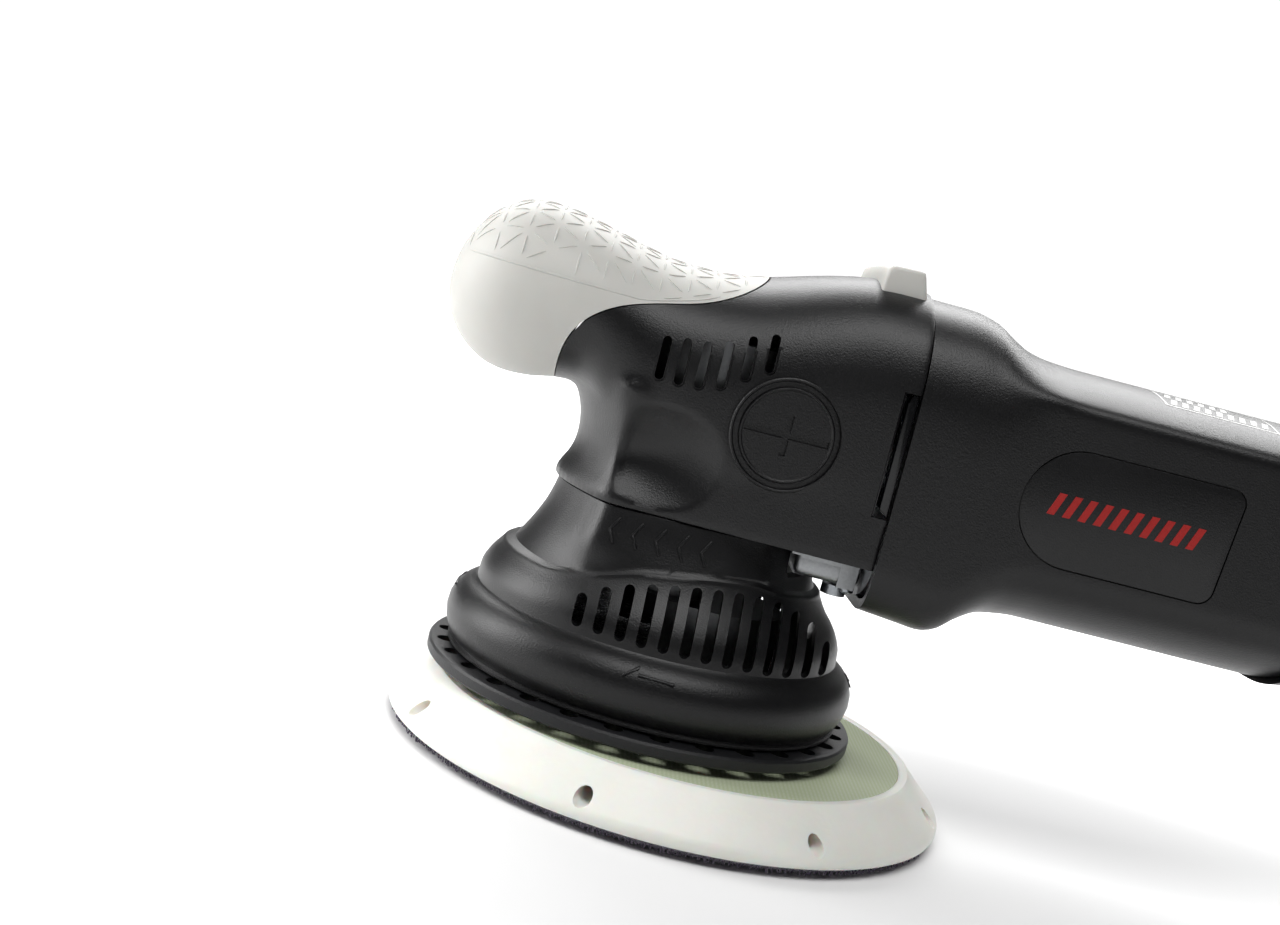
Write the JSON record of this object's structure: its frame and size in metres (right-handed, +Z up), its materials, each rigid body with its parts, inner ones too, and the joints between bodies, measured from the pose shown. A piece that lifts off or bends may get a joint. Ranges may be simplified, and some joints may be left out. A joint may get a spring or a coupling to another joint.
{
  "type": "dual action polisher",
  "caption": "Handheld random orbital car polisher with a soft front grip, slotted shroud over an offset counterweight, free-turning round backing plate, motor barrel and rear trigger handle.",
  "frame": {"origin": "the point where the main spindle's axis meets the plane of the plate's hook face", "axes": "+Z up along the main spindle, +X back along the body towards the handle, +Y to the side, the tool being symmetric about the XZ plane"},
  "size_m": [0.4278, 0.15, 0.1423],
  "materials": {
    "abs_black": "fine textured satin ABS",
    "nylon_black": "glass filled nylon",
    "rubber_black": "soft black rubber",
    "rubber_white": "smooth off-white rubber",
    "foam_cream": "moulded polyurethane foam",
    "hook_fabric": "hook and loop fabric",
    "fibreglass": "translucent fibreglass laminate",
    "steel": "turned steel",
    "zinc_steel": "zinc plated steel",
    "aluminium": "cast and machined aluminium",
    "laminated_steel": "varnished lamination stack",
    "copper": "enamelled copper wire",
    "brass": "pressed brass",
    "carbon": "pressed carbon",
    "plastic_gloss": "glossy black plastic",
    "plastic_red": "red plastic",
    "board": "printed circuit board"
  },
  "bodies": {
    "housing": {"guard_ring": "nylon_black", "shroud": "abs_black", "shroud_screws": "zinc_steel", "lower_bearing": "steel", "upper_bearing": "steel", "gearbox_housing": "aluminium", "gearbox_cap": "aluminium", "gearbox_screws": "zinc_steel", "head_cover": "abs_black", "front_grip": "rubber_white", "grip_frame": "nylon_black", "rest_bumper": "rubber_white", "side_plugs": "abs_black", "latch_clips": "plastic_gloss", "motor_front_bearing": "steel", "motor_rear_bearing": "steel", "bearing_bush": "rubber_black", "bearing_carrier": "nylon_black", "stator_core": "laminated_steel", "stator_windings": "copper", "fan_baffle": "nylon_black", "brush_holders": "brass", "carbon_brushes": "carbon", "brush_springs": "steel", "motor_housing": "abs_black", "housing_screws": "zinc_steel", "side_badges": "plastic_gloss", "top_label": "plastic_gloss", "handle_left": "abs_black", "handle_right": "abs_black", "handle_screws": "zinc_steel", "switch_module": "nylon_black", "speed_module": "board", "cable_gland": "rubber_black", "trigger_pin": "steel"},
    "plate": {"hook_face": "hook_fabric", "foam_plate": "foam_cream", "fibreglass_disc": "fibreglass", "plate_washer": "steel", "plate_bolt": "zinc_steel", "pad_spindle": "steel"},
    "spindle": {"eccentric_hub": "aluminium", "eccentric_bearings": "steel", "bearing_seal": "rubber_black", "counterweight": "steel", "counterweight_screws": "zinc_steel", "drive_spindle": "steel", "ring_gear": "steel", "gear_key": "steel", "retaining_ring": "zinc_steel"},
    "armature": {"motor_shaft": "steel", "pinion": "steel", "cooling_fan": "nylon_black", "armature_core": "laminated_steel", "armature_windings": "copper", "commutator": "copper"},
    "trigger": {"trigger": "nylon_black"},
    "lock_button": {"lock_button": "plastic_red"},
    "speed_dial": {"speed_dial": "nylon_black"}
  },
  "joints": [
    {"name": "spindle_spin", "type": "hinge", "parent": "housing", "child": "spindle", "pos_m": [0, 0, 0.07], "axis": [0, 0, 1], "continuous": true},
    {"name": "plate_spin", "type": "hinge", "parent": "spindle", "child": "plate", "pos_m": [0.0105, 0, 0.03], "axis": [0, 0, 1], "continuous": true},
    {"name": "armature_spin", "type": "hinge", "parent": "housing", "child": "armature", "pos_m": [0.09, 0, 0.0945], "axis": [1, 0, 0], "continuous": true},
    {"name": "trigger_pull", "type": "hinge", "parent": "housing", "child": "trigger", "pos_m": [0.1926, 0, 0.075], "axis": [0, -1, 0], "range_deg": [0, 5], "stiffness_Nm_per_rad": 1.2, "springref_deg": -8.59},
    {"name": "lock_button_press", "type": "slide", "parent": "housing", "child": "lock_button", "axis": [0, -1, 0], "range_m": [0, 0.002], "stiffness_N_per_m": 600, "springref_m": -0.002},
    {"name": "speed_dial_turn", "type": "hinge", "parent": "housing", "child": "speed_dial", "pos_m": [0.3125, 0, 0.1066], "axis": [0, 1, 0], "range_deg": [0, 270]}
  ],
  "couplings": [
    {"joint": "armature_spin", "follows": "spindle_spin", "ratio": 4.5}
  ]
}
